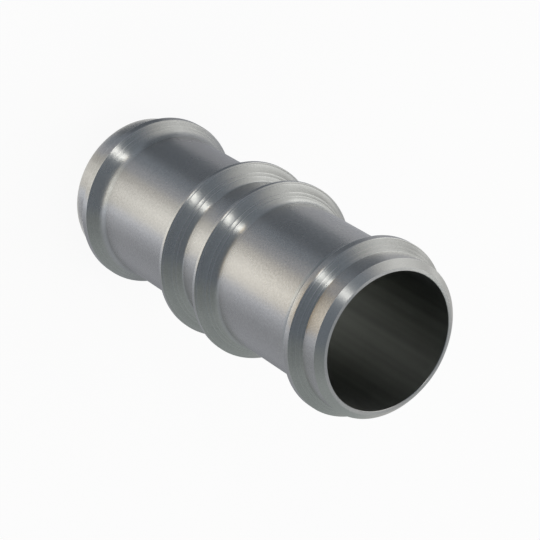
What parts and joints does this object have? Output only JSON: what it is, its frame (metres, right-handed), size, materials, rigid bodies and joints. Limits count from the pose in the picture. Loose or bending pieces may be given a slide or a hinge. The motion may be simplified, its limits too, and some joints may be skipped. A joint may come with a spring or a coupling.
{
  "type": "straight coupling",
  "caption": "Straight metal hose coupling: a thin turned tube with a bead near each mouth and a pair of stop collars at the middle.",
  "frame": {"origin": "centre of the lower mouth, on the plane that the part stands on", "axes": "+Z along the axis of the bore, from the lower mouth to the upper one; the part is symmetric about its middle"},
  "size_m": [0.06, 0.06, 0.144],
  "materials": {
    "turned_aluminium": "satin turned"
  },
  "bodies": {
    "root": {"coupling_body": "turned_aluminium"}
  },
  "joints": []
}
